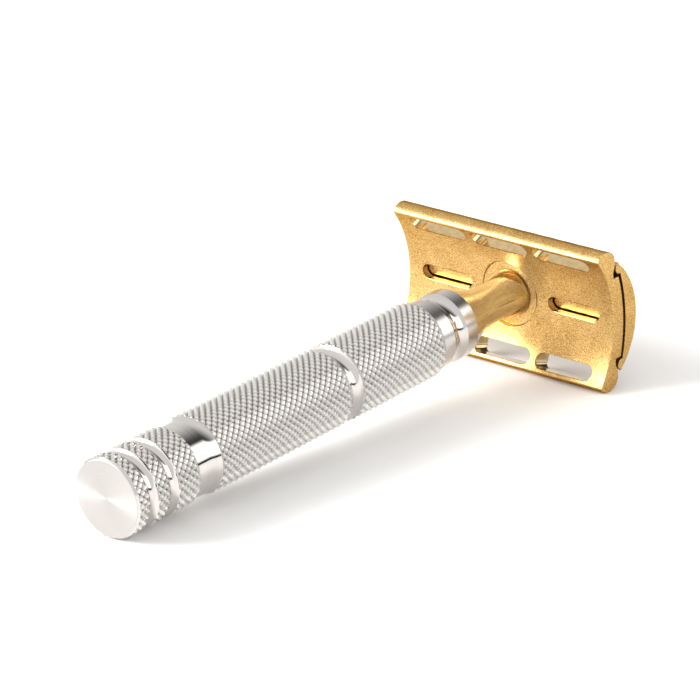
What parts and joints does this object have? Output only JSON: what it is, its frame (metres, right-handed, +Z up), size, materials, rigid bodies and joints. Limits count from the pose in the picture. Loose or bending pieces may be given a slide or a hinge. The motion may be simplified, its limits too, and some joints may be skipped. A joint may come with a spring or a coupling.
{
  "type": "safety razor",
  "caption": "Double-edge safety razor with a gold-coloured slotted head on a knurled steel handle, head unscrewed by turning the handle.",
  "frame": {"origin": "centre of the bounding box on the surface the razor lies on", "axes": "+Z up, +Y along the handle towards the head, +X along the blade; the handle's own axis rises 3.29 degrees towards the head because the razor lies on its knob and its lower guard bar"},
  "size_m": [0.043, 0.1058, 0.0246],
  "materials": {
    "handle_steel": "diamond-knurled stainless steel with polished grooves",
    "polished_steel": "turned and polished stainless steel",
    "stud_steel": "machined stainless steel thread",
    "gold_satin": "bead-blasted satin gold plating"
  },
  "bodies": {
    "handle": {"end_knob": "handle_steel", "lower_grip": "handle_steel", "upper_grip": "handle_steel", "neck_collar": "polished_steel", "joining_studs": "stud_steel"},
    "head_plate": {"base_plate": "gold_satin"},
    "head_cap": {"cap": "gold_satin", "cap_stud": "stud_steel"}
  },
  "joints": [
    {"name": "head_turn", "type": "hinge", "parent": "handle", "child": "head_plate", "pos_m": [0, 0.04681, 0.01238], "axis": [0, 0.9984, 0.0574], "range_deg": [0, 3240]},
    {"name": "cap_lift", "type": "slide", "parent": "head_plate", "child": "head_cap", "axis": [0, 0.9984, 0.0574], "range_m": [0, 0.0072]}
  ],
  "couplings": [
    {"joint": "cap_lift", "follows": "head_turn", "m_per_rad": 0.00012732}
  ]
}
